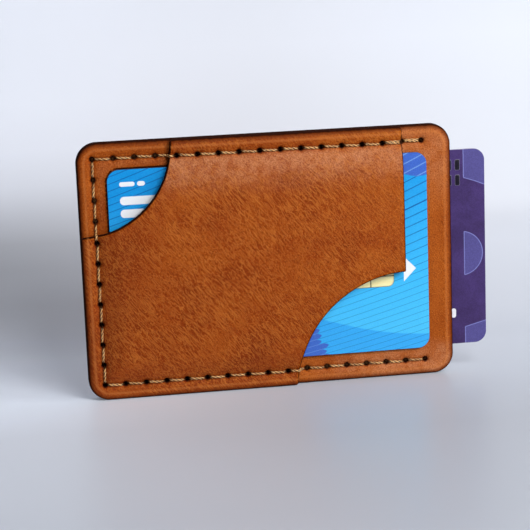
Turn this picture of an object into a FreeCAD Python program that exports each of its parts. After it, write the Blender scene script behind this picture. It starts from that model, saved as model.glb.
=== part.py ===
import FreeCAD, Part
import math
import os
import Sketcher
from FreeCAD import Vector

# A slim leather card wallet: three stitched leather panels that make two card pockets, open on the right.
# Frame: X along the long side, Z up, Y from front to back. The origin is the middle of the centre panel's
# bottom edge, halfway through its thickness. All sizes are in millimetres.

DIMENSIONS = (
    ("wallet_width", 100.1, "long side of the full-size panels"),
    ("wallet_height", 68.8, "short side of the full-size panels"),
    ("wallet_corner", 5.5, "corner radius of the full-size panels"),
    ("leather", 1.8, "thickness of one leather panel"),
    ("seam_inset", 4.15, "stitch line to the wallet's edge"),
    ("stitch_pitch", 5.5, "distance between stitch holes"),
    ("row_gaps", 16, "stitches along the top and along the bottom"),
    ("column_gaps", 11, "stitches down the left side"),
    ("hole_radius", 0.72, "awl hole"),
    ("thread_radius", 0.25, "one strand of the saddle stitch"),
    ("strand_offset", 0.36, "strand to the hole's axis, where two strands share it"),
    ("corner_strand_offset", 0.42, "the same in the two corner holes"),
    ("thread_lift", 0.03, "gap between a strand and the leather it lies on"),
    ("slot_gap", 0.95, "depth of a pocket where the leather stands off for a card"),
    ("slot_inset", 6.7, "wallet's edge to the full depth of a pocket"),
    ("slot_slope", 1.7, "width of the slope from a pocket down to the seam margin"),
    ("slot_corner", 2.4, "corner radius of a pocket at its foot"),
    ("slot_overrun", 20.0, "how far a pocket's tool runs past the open side"),
    ("mouth_inset", 13.65, "front panel's straight edge to the wallet's right edge"),
    ("window_radius", 24.6, "quarter-round window about the top left corner"),
    ("sweep_radius", 30.9, "quarter-round thumb sweep at the lower right"),
    ("sweep_centre_x", 37.2, "centre of the thumb sweep along the wallet"),
    ("sweep_centre_drop", 1.1, "centre of the thumb sweep below the bottom edge"),
    ("cut_corner", 1.0, "rounding where the window and the sweep meet the outline"),
    ("thumb_radius", 11.0, "thumb notch in the back panel's open side"),
    ("card_length", 85.6, "long side of an ID-1 card"),
    ("card_height", 53.98, "short side of an ID-1 card"),
    ("card_thickness", 0.76, "thickness of an ID-1 card"),
    ("card_corner", 3.18, "corner radius of an ID-1 card"),
    ("front_card_x", 0.39, "centre of the front card along the wallet"),
    ("front_card_z", 34.67, "centre of the front card above the bottom edge"),
    ("rear_card_x", 17.16, "centre of the rear card along the wallet"),
    ("rear_card_z", 34.36, "centre of the rear card above the bottom edge"),
    ("chip_width", 12.9, "contact plate along the card"),
    ("chip_height", 11.7, "contact plate across the card"),
    ("chip_plate", 0.18, "thickness of the contact plate"),
    ("chip_corner", 1.6, "corner radius of the contact plate"),
    ("chip_block", 8.0, "side of the moulded block behind the contact plate"),
    ("chip_block_corner", 1.0, "corner radius of the moulded block"),
    ("chip_block_depth", 0.35, "height of the moulded block"),
    ("chip_from_end", 9.6, "contact plate to the card's right end"),
    ("chip_from_edge", 17.8, "contact plate to the card's lower edge"),
    ("chip_clearance", 0.03, "gap round the chip module in its cavity"),
    ("tape_thickness", 0.05, "magnetic stripe and signature strip"),
    ("tape_clearance", 0.01, "gap round a tape in its shallow recess"),
    ("stripe_width", 11.0, "magnetic stripe across the card"),
    ("stripe_from_edge", 5.0, "magnetic stripe to the card's lower edge"),
    ("signature_length", 72.0, "signature strip along the card"),
    ("signature_width", 9.0, "signature strip across the card"),
    ("signature_from_edge", 19.0, "signature strip to the card's lower edge"),
    ("signature_from_end", 6.0, "signature strip to the card's right end"),
    ("signature_corner", 0.6, "corner radius of the signature strip"),
)

CUT_LENGTH = 30.0  # longer than the wallet is thick, for cuts that go right through
KNEE_MARGIN = 0.45  # how far a strand runs past the front panel's edge before it drops
KNEE_STEP = 0.02  # step of the search for that edge along a stitch
SAME_POINT = 0.01  # two points closer than this are one corner
LEAST_HOLE_SHARE = 0.9  # a row of holes that removes less than this share of its leather is incomplete
ROUND_TRANSITION = 2  # the pipe sweep's mode for round corners


def fill_sheet(doc):
    """Writes the driving dimensions into the spreadsheet, one alias a row."""
    sheet = doc.addObject("Spreadsheet::Sheet", "dims")
    for row, (alias, value, note) in enumerate(DIMENSIONS, start=1):
        sheet.set(f"A{row}", alias)
        sheet.set(f"B{row}", str(value))
        sheet.setAlias(f"B{row}", alias)
        sheet.set(f"C{row}", note)
    doc.recompute()
    return sheet


def new_body(doc, label):
    """Adds an empty body whose label is the node's name."""
    body = doc.addObject("PartDesign::Body", label)
    body.Label = label
    return body


def new_sketch(body, name, depth):
    """Adds a sketch on the body's XZ plane, moved towards the front (-Y) by the expression depth."""
    sketch = body.newObject("Sketcher::SketchObject", name)
    plane = next(f for f in body.Origin.OriginFeatures if f.Role == "XZ_Plane")
    sketch.AttachmentSupport = [(plane, "")]
    sketch.MapMode = "FlatFace"
    sketch.setExpression(".AttachmentOffset.Base.z", depth)
    return sketch


def name_datum(sketch, constraint, name, expression):
    """Adds a dimension to the sketch, names it and binds it to the sheet."""
    index = sketch.addConstraint(constraint)
    sketch.renameConstraint(index, name)
    sketch.setExpression(f"Constraints.{name}", expression)


def value_of(sketch, expression):
    """The present value of an expression, as a plain number."""
    found = sketch.evalExpression(expression)
    return float(getattr(found, "Value", found))


def locate(sketch, geometry, point, across, up, name):
    """Pins a sketch point at two bound distances from the sketch's origin."""
    for kind, text, suffix in (("DistanceX", across, "x"), ("DistanceY", up, "z")):
        value = value_of(sketch, text)
        if value >= 0:
            constraint = Sketcher.Constraint(kind, -1, 1, geometry, point, value)
        else:
            constraint = Sketcher.Constraint(kind, geometry, point, -1, 1, -value)
            text = f"-({text})"
        name_datum(sketch, constraint, f"{name}_{suffix}", text)


def add_circle(sketch, across, up, radius, name):
    """Draws a circle with a bound centre and radius."""
    centre = Vector(value_of(sketch, across), value_of(sketch, up), 0)
    size = value_of(sketch, radius)
    circle = sketch.addGeometry(Part.Circle(centre, Vector(0, 0, 1), size), False)
    locate(sketch, circle, 3, across, up, name)
    name_datum(sketch, Sketcher.Constraint("Radius", circle, size), f"{name}_radius", radius)


def add_rounded_rectangle(sketch, left, low, right, high, corner, name):
    """Draws a rectangle with four equal round corners between bound left, low, right and high sides."""
    x0, z0, x1, z1, r = (value_of(sketch, text) for text in (left, low, right, high, corner))
    sides = (
        (Vector(x0 + r, z0, 0), Vector(x1 - r, z0, 0)),
        (Vector(x1, z0 + r, 0), Vector(x1, z1 - r, 0)),
        (Vector(x1 - r, z1, 0), Vector(x0 + r, z1, 0)),
        (Vector(x0, z1 - r, 0), Vector(x0, z0 + r, 0)),
    )
    centres = (
        Vector(x1 - r, z0 + r, 0),
        Vector(x1 - r, z1 - r, 0),
        Vector(x0 + r, z1 - r, 0),
        Vector(x0 + r, z0 + r, 0),
    )
    lines = [sketch.addGeometry(Part.LineSegment(*side), False) for side in sides]
    arcs = []
    for turn, centre in enumerate(centres):
        circle = Part.Circle(centre, Vector(0, 0, 1), r)
        start = (turn - 1) * math.pi / 2
        arcs.append(sketch.addGeometry(Part.ArcOfCircle(circle, start, start + math.pi / 2), False))
    for turn in range(4):
        sketch.addConstraint(Sketcher.Constraint("Tangent", lines[turn], 2, arcs[turn], 1))
        sketch.addConstraint(Sketcher.Constraint("Tangent", arcs[turn], 2, lines[(turn + 1) % 4], 1))
        sketch.addConstraint(Sketcher.Constraint("Horizontal" if turn % 2 == 0 else "Vertical", lines[turn]))
    for arc in arcs[1:]:
        sketch.addConstraint(Sketcher.Constraint("Equal", arcs[0], arc))
    name_datum(sketch, Sketcher.Constraint("Radius", arcs[0], r), f"{name}_corner", corner)
    width = Sketcher.Constraint("DistanceX", lines[3], 1, lines[1], 1, x1 - x0)
    name_datum(sketch, width, f"{name}_width", f"({right}) - ({left})")
    height = Sketcher.Constraint("DistanceY", lines[0], 1, lines[2], 2, z1 - z0)
    name_datum(sketch, height, f"{name}_height", f"({high}) - ({low})")
    locate(sketch, arcs[3], 3, f"({left}) + ({corner})", f"({low}) + ({corner})", name)


def add_feature(doc, body, kind, name, sketch, length, towards_back=False, slope=None):
    """Pads or pockets a sketch by a bound length, and checks that the solid's volume changed the right way."""
    before = body.Shape.Volume if body.Tip else 0.0
    feature = body.newObject(f"PartDesign::{kind}", name)
    feature.Profile = sketch
    feature.setExpression("Length", length)
    if slope:
        feature.setExpression("TaperAngle", slope)
    feature.Reversed = towards_back if kind == "Pad" else not towards_back
    doc.recompute()
    grown = body.Shape.Volume - before
    if (grown <= 0) if kind == "Pad" else (grown >= 0):
        raise RuntimeError(f"{body.Label}.{name} changed the volume by {grown:.3f}")
    return feature


def outline(sketch):
    """Draws the outline of a full-size panel."""
    half = "dims.wallet_width / 2"
    add_rounded_rectangle(sketch, f"-({half})", "0", half, "dims.wallet_height", "dims.wallet_corner", "outline")


def pad_sheet(doc, body, back_face):
    """Pads a full-size leather sheet towards the front from its back face."""
    sketch = new_sketch(body, f"{body.Label}_outline", back_face)
    outline(sketch)
    return add_feature(doc, body, "Pad", f"{body.Label}_sheet", sketch, "dims.leather")


def pocket_profile(sketch):
    """Draws the foot of a card pocket, which is closed on three sides and runs out of the open side."""
    inset = "(dims.slot_inset - dims.slot_slope)"
    add_rounded_rectangle(
        sketch,
        f"-(dims.wallet_width / 2) + {inset}",
        inset,
        "dims.wallet_width / 2 + dims.slot_overrun",
        f"dims.wallet_height - {inset}",
        "dims.slot_corner",
        "pocket",
    )


def raise_pocket(doc, body, outer_face, inner_face, towards_back):
    """Makes the leather stand off: a sloped field on the outer face, and the same hollow in the inner face."""
    slope = "atan(dims.slot_slope / dims.slot_gap)"
    field = new_sketch(body, f"{body.Label}_field_outline", outer_face)
    pocket_profile(field)
    add_feature(doc, body, "Pad", f"{body.Label}_field", field, "dims.slot_gap", towards_back, f"-({slope})")
    hollow = new_sketch(body, f"{body.Label}_hollow_outline", inner_face)
    pocket_profile(hollow)
    add_feature(doc, body, "Pocket", f"{body.Label}_hollow", hollow, "dims.slot_gap", towards_back, f"-({slope})")


def trim_to_outline(doc, body):
    """Cuts off what stands outside the outline of a full-size panel."""
    sketch = new_sketch(body, f"{body.Label}_trim_outline", "0")
    outline(sketch)
    reach = "(dims.wallet_width / 2 + 2 * dims.slot_overrun)"
    add_rounded_rectangle(
        sketch, f"-{reach}", f"-{reach}", reach, f"dims.wallet_height + {reach}", "dims.slot_corner", "around"
    )
    cut_through(doc, body, sketch, f"{body.Label}_trim")


def cut_through(doc, body, sketch, name):
    """Pockets a sketch right through the body, to both sides of the sketch."""
    before = body.Shape.Volume
    feature = body.newObject("PartDesign::Pocket", name)
    feature.Profile = sketch
    feature.Length = CUT_LENGTH
    feature.Midplane = True
    doc.recompute()
    if body.Shape.Volume >= before:
        raise RuntimeError(f"{name} cut nothing")
    return feature


def pattern(doc, body, feature, name, direction, reverse, step, count):
    """Repeats a feature along one of the body's own axes."""
    linear = body.newObject("PartDesign::LinearPattern", name)
    linear.Originals = [feature]
    axis = next(f for f in body.Origin.OriginFeatures if f.Role == direction)
    linear.Direction = (axis, [""])
    linear.Reversed = reverse
    linear.Mode = "Spacing"
    linear.setExpression("Offset", step)
    linear.setExpression("Occurrences", count)
    body.Tip = linear
    doc.recompute()
    return linear


def punch_holes(doc, body):
    """Punches the seam: the top row, the left column and the bottom row."""
    first_x = "-(dims.wallet_width / 2) + dims.seam_inset"
    top_z = "dims.wallet_height - dims.seam_inset"
    rows = (
        ("top_row", top_z, "X_Axis", False, "dims.row_gaps + 1"),
        ("bottom_row", "dims.seam_inset", "X_Axis", False, "dims.row_gaps + 1"),
        ("left_column", "dims.seam_inset + dims.stitch_pitch", "Z_Axis", False, "dims.column_gaps - 1"),
    )
    for name, z, direction, reverse, count in rows:
        before = body.Shape.Volume
        sketch = new_sketch(body, f"{body.Label}_{name}_hole", "0")
        add_circle(sketch, first_x, z, "dims.hole_radius", "hole")
        hole = cut_through(doc, body, sketch, f"{body.Label}_{name}_first")
        one = before - body.Shape.Volume
        made = pattern(doc, body, hole, f"{body.Label}_{name}", direction, reverse, "dims.stitch_pitch", count)
        if before - body.Shape.Volume < LEAST_HOLE_SHARE * one * made.Occurrences:
            raise RuntimeError(f"{body.Label}.{name} has too few holes")


def make_centre_panel(doc):
    """The full-size sheet between the two pockets."""
    body = new_body(doc, "centre_panel")
    pad_sheet(doc, body, "-(dims.leather / 2)")
    punch_holes(doc, body)
    return body


def make_back_panel(doc):
    """The full-size sheet behind the rear pocket, with a thumb notch in its open side."""
    body = new_body(doc, "back_panel")
    pad_sheet(doc, body, "-(1.5 * dims.leather)")
    raise_pocket(doc, body, "-(1.5 * dims.leather)", "-(dims.leather / 2)", True)
    trim_to_outline(doc, body)
    punch_holes(doc, body)
    notch = new_sketch(body, "back_panel_notch_outline", "0")
    add_circle(notch, "dims.wallet_width / 2", "dims.wallet_height / 2", "dims.thumb_radius", "notch")
    cut_through(doc, body, notch, "back_panel_notch")
    return body


def make_front_panel(doc, sheet):
    """The front pocket: a sheet with a round window, a round thumb sweep and a straight mouth edge."""
    body = new_body(doc, "front_panel")
    pad_sheet(doc, body, "dims.leather / 2")
    raise_pocket(doc, body, "1.5 * dims.leather", "dims.leather / 2", False)
    punch_holes(doc, body)
    window = new_sketch(body, "front_panel_window_outline", "0")
    add_circle(window, "-(dims.wallet_width / 2)", "dims.wallet_height", "dims.window_radius", "window")
    cut_through(doc, body, window, "front_panel_window")
    sweep = new_sketch(body, "front_panel_sweep_outline", "0")
    add_circle(sweep, "dims.sweep_centre_x", "-dims.sweep_centre_drop", "dims.sweep_radius", "sweep")
    cut_through(doc, body, sweep, "front_panel_sweep")
    mouth = new_sketch(body, "front_panel_mouth_outline", "0")
    edge = "dims.wallet_width / 2 - dims.mouth_inset"
    beyond = "dims.wallet_width / 2 + 2 * dims.slot_overrun"
    above = "dims.wallet_height + 2 * dims.slot_overrun"
    # The tool's round corners lie well outside the sheet, so the cut edge is straight.
    add_rounded_rectangle(mouth, edge, "-(dims.slot_overrun)", beyond, above, "dims.slot_corner", "mouth")
    cut_through(doc, body, mouth, "front_panel_mouth")
    round_cut_corners(doc, sheet, body)
    return body


def cut_corners(sheet):
    """Where the window and the sweep meet the wallet's outline, in XZ."""
    width, height, window = read(sheet, "wallet_width", "wallet_height", "window_radius")
    sweep, sweep_x, drop = read(sheet, "sweep_radius", "sweep_centre_x", "sweep_centre_drop")
    return (
        (window - width / 2, height),
        (-width / 2, height - window),
        (sweep_x - math.sqrt(sweep**2 - drop**2), 0.0),
    )


def round_cut_corners(doc, sheet, body):
    """Rounds the leather's points where the window and the sweep leave the outline."""
    names = []
    for n, edge in enumerate(body.Shape.Edges, start=1):
        ends = [(v.X, v.Z) for v in edge.Vertexes]
        if any(all(math.dist(end, corner) < SAME_POINT for end in ends) for corner in cut_corners(sheet)):
            names.append(f"Edge{n}")
    cut = body.Tip
    fillet = body.newObject("PartDesign::Fillet", "front_panel_cut_corners")
    fillet.Base = (cut, names)
    fillet.setExpression("Radius", "dims.cut_corner")
    doc.recompute()


def read(sheet, *names):
    """Values of the sheet, as plain numbers."""
    return [float(sheet.get(name)) for name in names]


def seam_holes(sheet):
    """Every hole of the seam in sewing order: its place in XZ and the direction towards the wallet's edge."""
    width, height, inset, pitch = read(sheet, "wallet_width", "wallet_height", "seam_inset", "stitch_pitch")
    row, column = int(sheet.get("row_gaps")), int(sheet.get("column_gaps"))
    left = inset - width / 2
    top = height - inset
    diagonal = math.sqrt(0.5)
    holes = [(left + pitch * k, top, 0.0, 1.0) for k in range(row, 0, -1)]
    holes.append((left, top, -diagonal, diagonal))
    holes += [(left, top - pitch * k, -1.0, 0.0) for k in range(1, column)]
    holes.append((left, inset, -diagonal, -diagonal))
    holes += [(left + pitch * k, inset, 0.0, -1.0) for k in range(1, row + 1)]
    return holes


def front_panel_covers(sheet, x, z):
    """True where the front panel lies over the point."""
    width, height, mouth, window = read(sheet, "wallet_width", "wallet_height", "mouth_inset", "window_radius")
    sweep, sweep_x, drop = read(sheet, "sweep_radius", "sweep_centre_x", "sweep_centre_drop")
    in_window = math.hypot(x + width / 2, z - height) < window
    in_sweep = math.hypot(x - sweep_x, z + drop) < sweep
    return x < width / 2 - mouth and not in_window and not in_sweep


def knee(sheet, start, end):
    """Where a strand that leaves the front panel between two points starts to drop, or None if it doesn't."""
    span = math.dist(start, end)
    steps = int(span / KNEE_STEP)
    for k in range(1, steps):
        share = k / steps
        x, z = (a + (b - a) * share for a, b in zip(start, end))
        if not front_panel_covers(sheet, x, z):
            share += KNEE_MARGIN / span
            return tuple(a + (b - a) * share for a, b in zip(start, end))
    return None


def strand_path(sheet, first_in_front):
    """Points of one strand: along the front in every other gap, through each hole, and along the back between."""
    leather, radius, lift, hole_radius = read(sheet, "leather", "thread_radius", "thread_lift", "hole_radius")
    offset, corner_offset = read(sheet, "strand_offset", "corner_strand_offset")
    upper = -(1.5 * leather + radius + lift)
    lower = -(0.5 * leather + radius + lift)
    behind = 1.5 * leather + radius + lift
    holes = seam_holes(sheet)
    legs = []
    for n, (x, z, out_x, out_z) in enumerate(holes):
        side = 1 if (n % 2 == 1) == first_in_front else -1
        shift = side * (corner_offset if out_x and out_z else offset)
        legs.append((x + shift * out_x, z + shift * out_z))
    points = [Vector(legs[0][0], 0, legs[0][1])]
    for n in range(len(holes) - 1):
        a, b = legs[n], legs[n + 1]
        if (n % 2 == 0) != first_in_front:
            points += [Vector(a[0], behind, a[1]), Vector(b[0], behind, b[1])]
            continue
        on_panel = [front_panel_covers(sheet, x - hole_radius, z) for x, z, _, _ in holes[n : n + 2]]
        heights = [upper if on else lower for on in on_panel]
        points.append(Vector(a[0], heights[0], a[1]))
        if on_panel[0] and not on_panel[1]:
            drop = knee(sheet, a, b)
            points.append(Vector(drop[0], upper, drop[1]))
        if on_panel[1] and not on_panel[0]:
            drop = knee(sheet, b, a)
            points.append(Vector(drop[0], upper, drop[1]))
        points.append(Vector(b[0], heights[1], b[1]))
    points.append(Vector(legs[-1][0], 0, legs[-1][1]))
    return points


def make_strand(doc, sheet, label, first_in_front):
    """Sweeps one strand of the saddle stitch along its path, with round corners."""
    points = strand_path(sheet, first_in_front)
    radius = float(sheet.get("thread_radius"))
    profile = Part.Wire(Part.makeCircle(radius, points[0], points[1] - points[0]))
    sweep = Part.BRepOffsetAPI.MakePipeShell(Part.makePolygon(points))
    sweep.setTransitionMode(ROUND_TRANSITION)
    sweep.add(profile)
    sweep.build()
    sweep.makeSolid()
    strand = doc.addObject("Part::Feature", label)
    strand.Label = label
    strand.Shape = sweep.shape()
    return strand


def card_sides():
    """Expressions for the left, low, right and high sides of a card about its own centre."""
    length = "(dims.card_length / 2)"
    height = "(dims.card_height / 2)"
    return f"-{length}", f"-{height}", length, height


def chip_sides(margin):
    """Sides of the contact plate about the card's centre, grown by a margin."""
    _, low, right, _ = card_sides()
    end = f"({right} - dims.chip_from_end)"
    edge = f"({low} + dims.chip_from_edge)"
    return (
        f"{end} - dims.chip_width - {margin}",
        f"{edge} - {margin}",
        f"{end} + {margin}",
        f"{edge} + dims.chip_height + {margin}",
    )


def block_sides(margin):
    """Sides of the moulded block, centred behind the contact plate, grown by a margin."""
    left, low, right, high = chip_sides("0")
    half = f"(dims.chip_block / 2 + {margin})"
    middle_x = f"(({left}) + ({right})) / 2"
    middle_z = f"(({low}) + ({high})) / 2"
    return f"{middle_x} - {half}", f"{middle_z} - {half}", f"{middle_x} + {half}", f"{middle_z} + {half}"


def stripe_sides(margin):
    """Sides of the magnetic stripe, which runs the whole length of the card."""
    left, low, right, _ = card_sides()
    edge = f"({low} + dims.stripe_from_edge)"
    return left, f"{edge} - {margin}", right, f"{edge} + dims.stripe_width + {margin}"


def signature_sides(margin):
    """Sides of the signature strip."""
    _, low, right, _ = card_sides()
    end = f"({right} - dims.signature_from_end)"
    edge = f"({low} + dims.signature_from_edge)"
    return (
        f"{end} - dims.signature_length - {margin}",
        f"{edge} - {margin}",
        f"{end} + {margin}",
        f"{edge} + dims.signature_width + {margin}",
    )


def place_with_card(body, card):
    """Binds a body of a card to that card's place in the wallet."""
    gap = "(dims.leather / 2 + dims.slot_gap / 2)"
    body.setExpression("Placement.Base.x", f"dims.{card}_x")
    body.setExpression("Placement.Base.y", f"-{gap}" if card == "front_card" else gap)
    body.setExpression("Placement.Base.z", f"dims.{card}_z")


def make_card_body(doc, card):
    """The plastic card, with a stepped cavity for the chip and shallow recesses for the two tapes."""
    body = new_body(doc, f"{card}_body")
    name = body.Label
    front, back = "dims.card_thickness / 2", "-(dims.card_thickness / 2)"
    sheet = new_sketch(body, f"{name}_outline", back)
    add_rounded_rectangle(sheet, *card_sides(), "dims.card_corner", "card")
    add_feature(doc, body, "Pad", f"{name}_sheet", sheet, "dims.card_thickness")
    plate = new_sketch(body, f"{name}_plate_outline", front)
    add_rounded_rectangle(plate, *chip_sides("dims.chip_clearance"), "dims.chip_corner", "plate")
    depth = "dims.chip_plate + dims.chip_clearance"
    add_feature(doc, body, "Pocket", f"{name}_plate_recess", plate, depth, towards_back=True)
    block = new_sketch(body, f"{name}_block_outline", front)
    add_rounded_rectangle(block, *block_sides("dims.chip_clearance"), "dims.chip_block_corner", "block")
    depth = "dims.chip_plate + dims.chip_block_depth + dims.chip_clearance"
    add_feature(doc, body, "Pocket", f"{name}_block_recess", block, depth, towards_back=True)
    depth = "dims.tape_thickness + dims.tape_clearance"
    stripe = new_sketch(body, f"{name}_stripe_outline", back)
    _, low, _, high = stripe_sides("dims.tape_clearance")
    past_left, past_right = "-(dims.card_length)", "dims.card_length"
    add_rounded_rectangle(stripe, past_left, low, past_right, high, "dims.chip_corner", "stripe")
    add_feature(doc, body, "Pocket", f"{name}_stripe_recess", stripe, depth)
    strip = new_sketch(body, f"{name}_signature_outline", back)
    add_rounded_rectangle(strip, *signature_sides("dims.tape_clearance"), "dims.signature_corner", "signature")
    add_feature(doc, body, "Pocket", f"{name}_signature_recess", strip, depth)
    place_with_card(body, card)
    return body


def make_chip(doc, card):
    """The chip module: a thin contact plate on a moulded block."""
    body = new_body(doc, f"{card}_chip")
    plate = new_sketch(body, f"{card}_contact_outline", "dims.card_thickness / 2 - dims.chip_plate")
    add_rounded_rectangle(plate, *chip_sides("0"), "dims.chip_corner", "plate")
    add_feature(doc, body, "Pad", f"{card}_contact_plate", plate, "dims.chip_plate")
    block = new_sketch(body, f"{card}_moulding_outline", "dims.card_thickness / 2 - dims.chip_plate")
    add_rounded_rectangle(block, *block_sides("0"), "dims.chip_block_corner", "block")
    add_feature(doc, body, "Pad", f"{card}_moulding", block, "dims.chip_block_depth", towards_back=True)
    place_with_card(body, card)
    return body


def make_tape(doc, card, name, sides, corner):
    """A thin tape set flush in the card's rear face."""
    body = new_body(doc, f"{card}_{name}")
    sketch = new_sketch(body, f"{card}_{name}_outline", "-(dims.card_thickness / 2)")
    add_rounded_rectangle(sketch, *sides, corner, "tape")
    add_feature(doc, body, "Pad", f"{card}_{name}_tape", sketch, "dims.tape_thickness")
    place_with_card(body, card)
    return body


def make_card(doc, card):
    """All pieces of one card."""
    return [
        make_card_body(doc, card),
        make_chip(doc, card),
        make_tape(doc, card, "magnetic_stripe", stripe_sides("0"), "dims.chip_clearance"),
        make_tape(doc, card, "signature_strip", signature_sides("0"), "dims.signature_corner"),
    ]


def check(doc, parts):
    """Stops if any object failed or any part isn't one valid solid."""
    for item in doc.Objects:
        if "Invalid" in item.State or "Error" in item.State:
            raise RuntimeError(f"{item.Name} is {item.State}")
    for part in parts:
        if part.Shape.isNull() or not part.Shape.isValid() or len(part.Shape.Solids) != 1:
            raise RuntimeError(f"{part.Label} is not one valid solid")


def main():
    doc = FreeCAD.newDocument("card_wallet")
    sheet = fill_sheet(doc)
    parts = [make_front_panel(doc, sheet), make_centre_panel(doc), make_back_panel(doc)]
    parts.append(make_strand(doc, sheet, "thread_strand_a", True))
    parts.append(make_strand(doc, sheet, "thread_strand_b", False))
    for card in ("front_card", "rear_card"):
        parts += make_card(doc, card)
    doc.recompute()
    check(doc, parts)
    os.makedirs("parts", exist_ok=True)
    for part in parts:
        part.Shape.exportStep(f"parts/{part.Label}.step")
        box = part.Shape.BoundBox
        print(
            f"{part.Label:28s} {part.Shape.Volume:9.2f} mm3  x {box.XMin:7.2f} {box.XMax:7.2f}"
            f"  y {box.YMin:6.2f} {box.YMax:6.2f}  z {box.ZMin:6.2f} {box.ZMax:6.2f}"
        )


main()
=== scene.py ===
"""Looks of the slim card wallet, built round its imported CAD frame. Shapes are worked out in millimetres."""

import math

import bmesh
import bpy
import numpy as np
from mathutils import Matrix, Vector
from mathutils.geometry import delaunay_2d_cdt


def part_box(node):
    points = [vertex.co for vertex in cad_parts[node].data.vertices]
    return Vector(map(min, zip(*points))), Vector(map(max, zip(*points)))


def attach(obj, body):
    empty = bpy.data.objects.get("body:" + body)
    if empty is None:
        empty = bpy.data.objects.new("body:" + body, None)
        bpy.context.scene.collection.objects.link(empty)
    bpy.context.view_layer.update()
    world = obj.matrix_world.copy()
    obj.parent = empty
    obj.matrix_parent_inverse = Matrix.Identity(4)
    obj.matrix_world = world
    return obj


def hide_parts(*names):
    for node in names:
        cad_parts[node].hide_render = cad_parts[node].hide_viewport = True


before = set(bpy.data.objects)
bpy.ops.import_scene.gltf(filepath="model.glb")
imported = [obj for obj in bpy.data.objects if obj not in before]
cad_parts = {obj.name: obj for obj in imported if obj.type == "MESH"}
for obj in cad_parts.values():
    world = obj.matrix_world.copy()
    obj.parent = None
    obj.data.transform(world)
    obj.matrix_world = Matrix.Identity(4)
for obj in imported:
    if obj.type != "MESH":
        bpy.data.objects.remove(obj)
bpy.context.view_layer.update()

MM = 0.001
SEED = 11
XZ = [0, 2]


# ---- sizes

def node_box(node):
    """Lowest and highest corner of a CAD node, in millimetres."""
    low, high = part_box(node)
    return np.array(low) / MM, np.array(high) / MM


CENTRE_LOW, CENTRE_HIGH = node_box("centre_panel")
FRONT_HIGH = node_box("front_panel")[1]
BACK_HIGH = node_box("back_panel")[1]

HALF = CENTRE_HIGH[0]  # half the wallet's width
HEIGHT = CENTRE_HIGH[2]  # the wallet's height
LEATHER = CENTRE_HIGH[1] - CENTRE_LOW[1]  # thickness of one panel
STAND_OFF = BACK_HIGH[1] - CENTRE_HIGH[1] - LEATHER  # how far a pocket stands off for its card
MOUTH_X = FRONT_HIGH[0]  # straight edge of the front panel
WALLET_CORNER = 5.5
WINDOW_RADIUS = 24.6
SWEEP_RADIUS = 30.9
SWEEP_CENTRE = np.array([37.2, -1.1])
THUMB_RADIUS = 11.0
MOUTH_CORNER = 0.3  # rounding between the sweep and the mouth
PANEL_CORNER = 1.0  # rounding between the front panel's cuts and the wallet's outline
NOTCH_CORNER = 1.4  # rounding between the thumb notch and the wallet's outline
SEAM_INSET = 4.15
PITCH = 5.5  # hole to hole
ROW_GAPS = 16  # gaps between holes along the top, and along the bottom
COLUMN_GAPS = 11  # gaps down the left side
HOLE_RADIUS = 0.62  # the awl hole, drawn in a little round its thread
THREAD_RADIUS = 0.3
CARD_CORNER = 3.18


# ---- distances
# Each field is the distance inside a border, positive on the leather, for points p of shape (n, 2) in XZ.

def inside_rectangle(p, low, high, radius):
    """Distance inside a rectangle with round corners."""
    low, high = np.asarray(low, float), np.asarray(high, float)
    centre, half = (low + high) / 2, (high - low) / 2 - radius
    q = np.abs(p - centre) - half
    outside = np.hypot(*np.maximum(q, 0).T)
    return radius - outside - np.minimum(q.max(1), 0)


def inside_sheet(p):
    """Distance inside the full-size outline."""
    return inside_rectangle(p, (-HALF, 0), (HALF, HEIGHT), WALLET_CORNER)


def outside_circle(p, centre, radius):
    """Distance outside a round cut."""
    return np.hypot(p[:, 0] - centre[0], p[:, 1] - centre[1]) - radius


def both(a, b, radius):
    """Where two fields meet, with the corner between them rounded."""
    corner = radius - np.hypot(np.maximum(radius - a, 0), np.maximum(radius - b, 0))
    return np.where((a < radius) & (b < radius), corner, np.minimum(a, b))


def inside_front_cuts(p):
    """Distance inside the front panel's window, sweep and mouth edges."""
    window = outside_circle(p, (-HALF, HEIGHT), WINDOW_RADIUS)
    sweep = both(outside_circle(p, SWEEP_CENTRE, SWEEP_RADIUS), MOUTH_X - p[:, 0], MOUTH_CORNER)
    return np.minimum(window, sweep)


def inside_front_panel(p):
    """Distance inside the front panel."""
    return both(inside_sheet(p), inside_front_cuts(p), PANEL_CORNER)


def inside_thumb_notch(p):
    """Distance outside the back panel's thumb notch."""
    return outside_circle(p, (HALF, HEIGHT / 2), THUMB_RADIUS)


def inside_back_panel(p):
    """Distance inside the back panel, with its thumb notch."""
    return both(inside_sheet(p), inside_thumb_notch(p), NOTCH_CORNER)


def seam_holes():
    """Holes of the seam in sewing order, as places in XZ and unit vectors towards the wallet's edge."""
    left, top, low = SEAM_INSET - HALF, HEIGHT - SEAM_INSET, SEAM_INSET
    diagonal = math.sqrt(0.5)
    holes = [(left + PITCH * k, top, 0, 1) for k in range(ROW_GAPS, 0, -1)]
    holes.append((left, top, -diagonal, diagonal))
    holes += [(left, top - PITCH * k, -1, 0) for k in range(1, COLUMN_GAPS)]
    holes.append((left, low, -diagonal, -diagonal))
    holes += [(left + PITCH * k, low, 0, -1) for k in range(1, ROW_GAPS + 1)]
    holes = np.array(holes, float)
    return holes[:, :2], holes[:, 2:]


HOLES, OUTWARD = seam_holes()
SEAM_TURNS = (0, ROW_GAPS, ROW_GAPS + COLUMN_GAPS, len(HOLES) - 1)  # holes where a straight run ends


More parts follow.
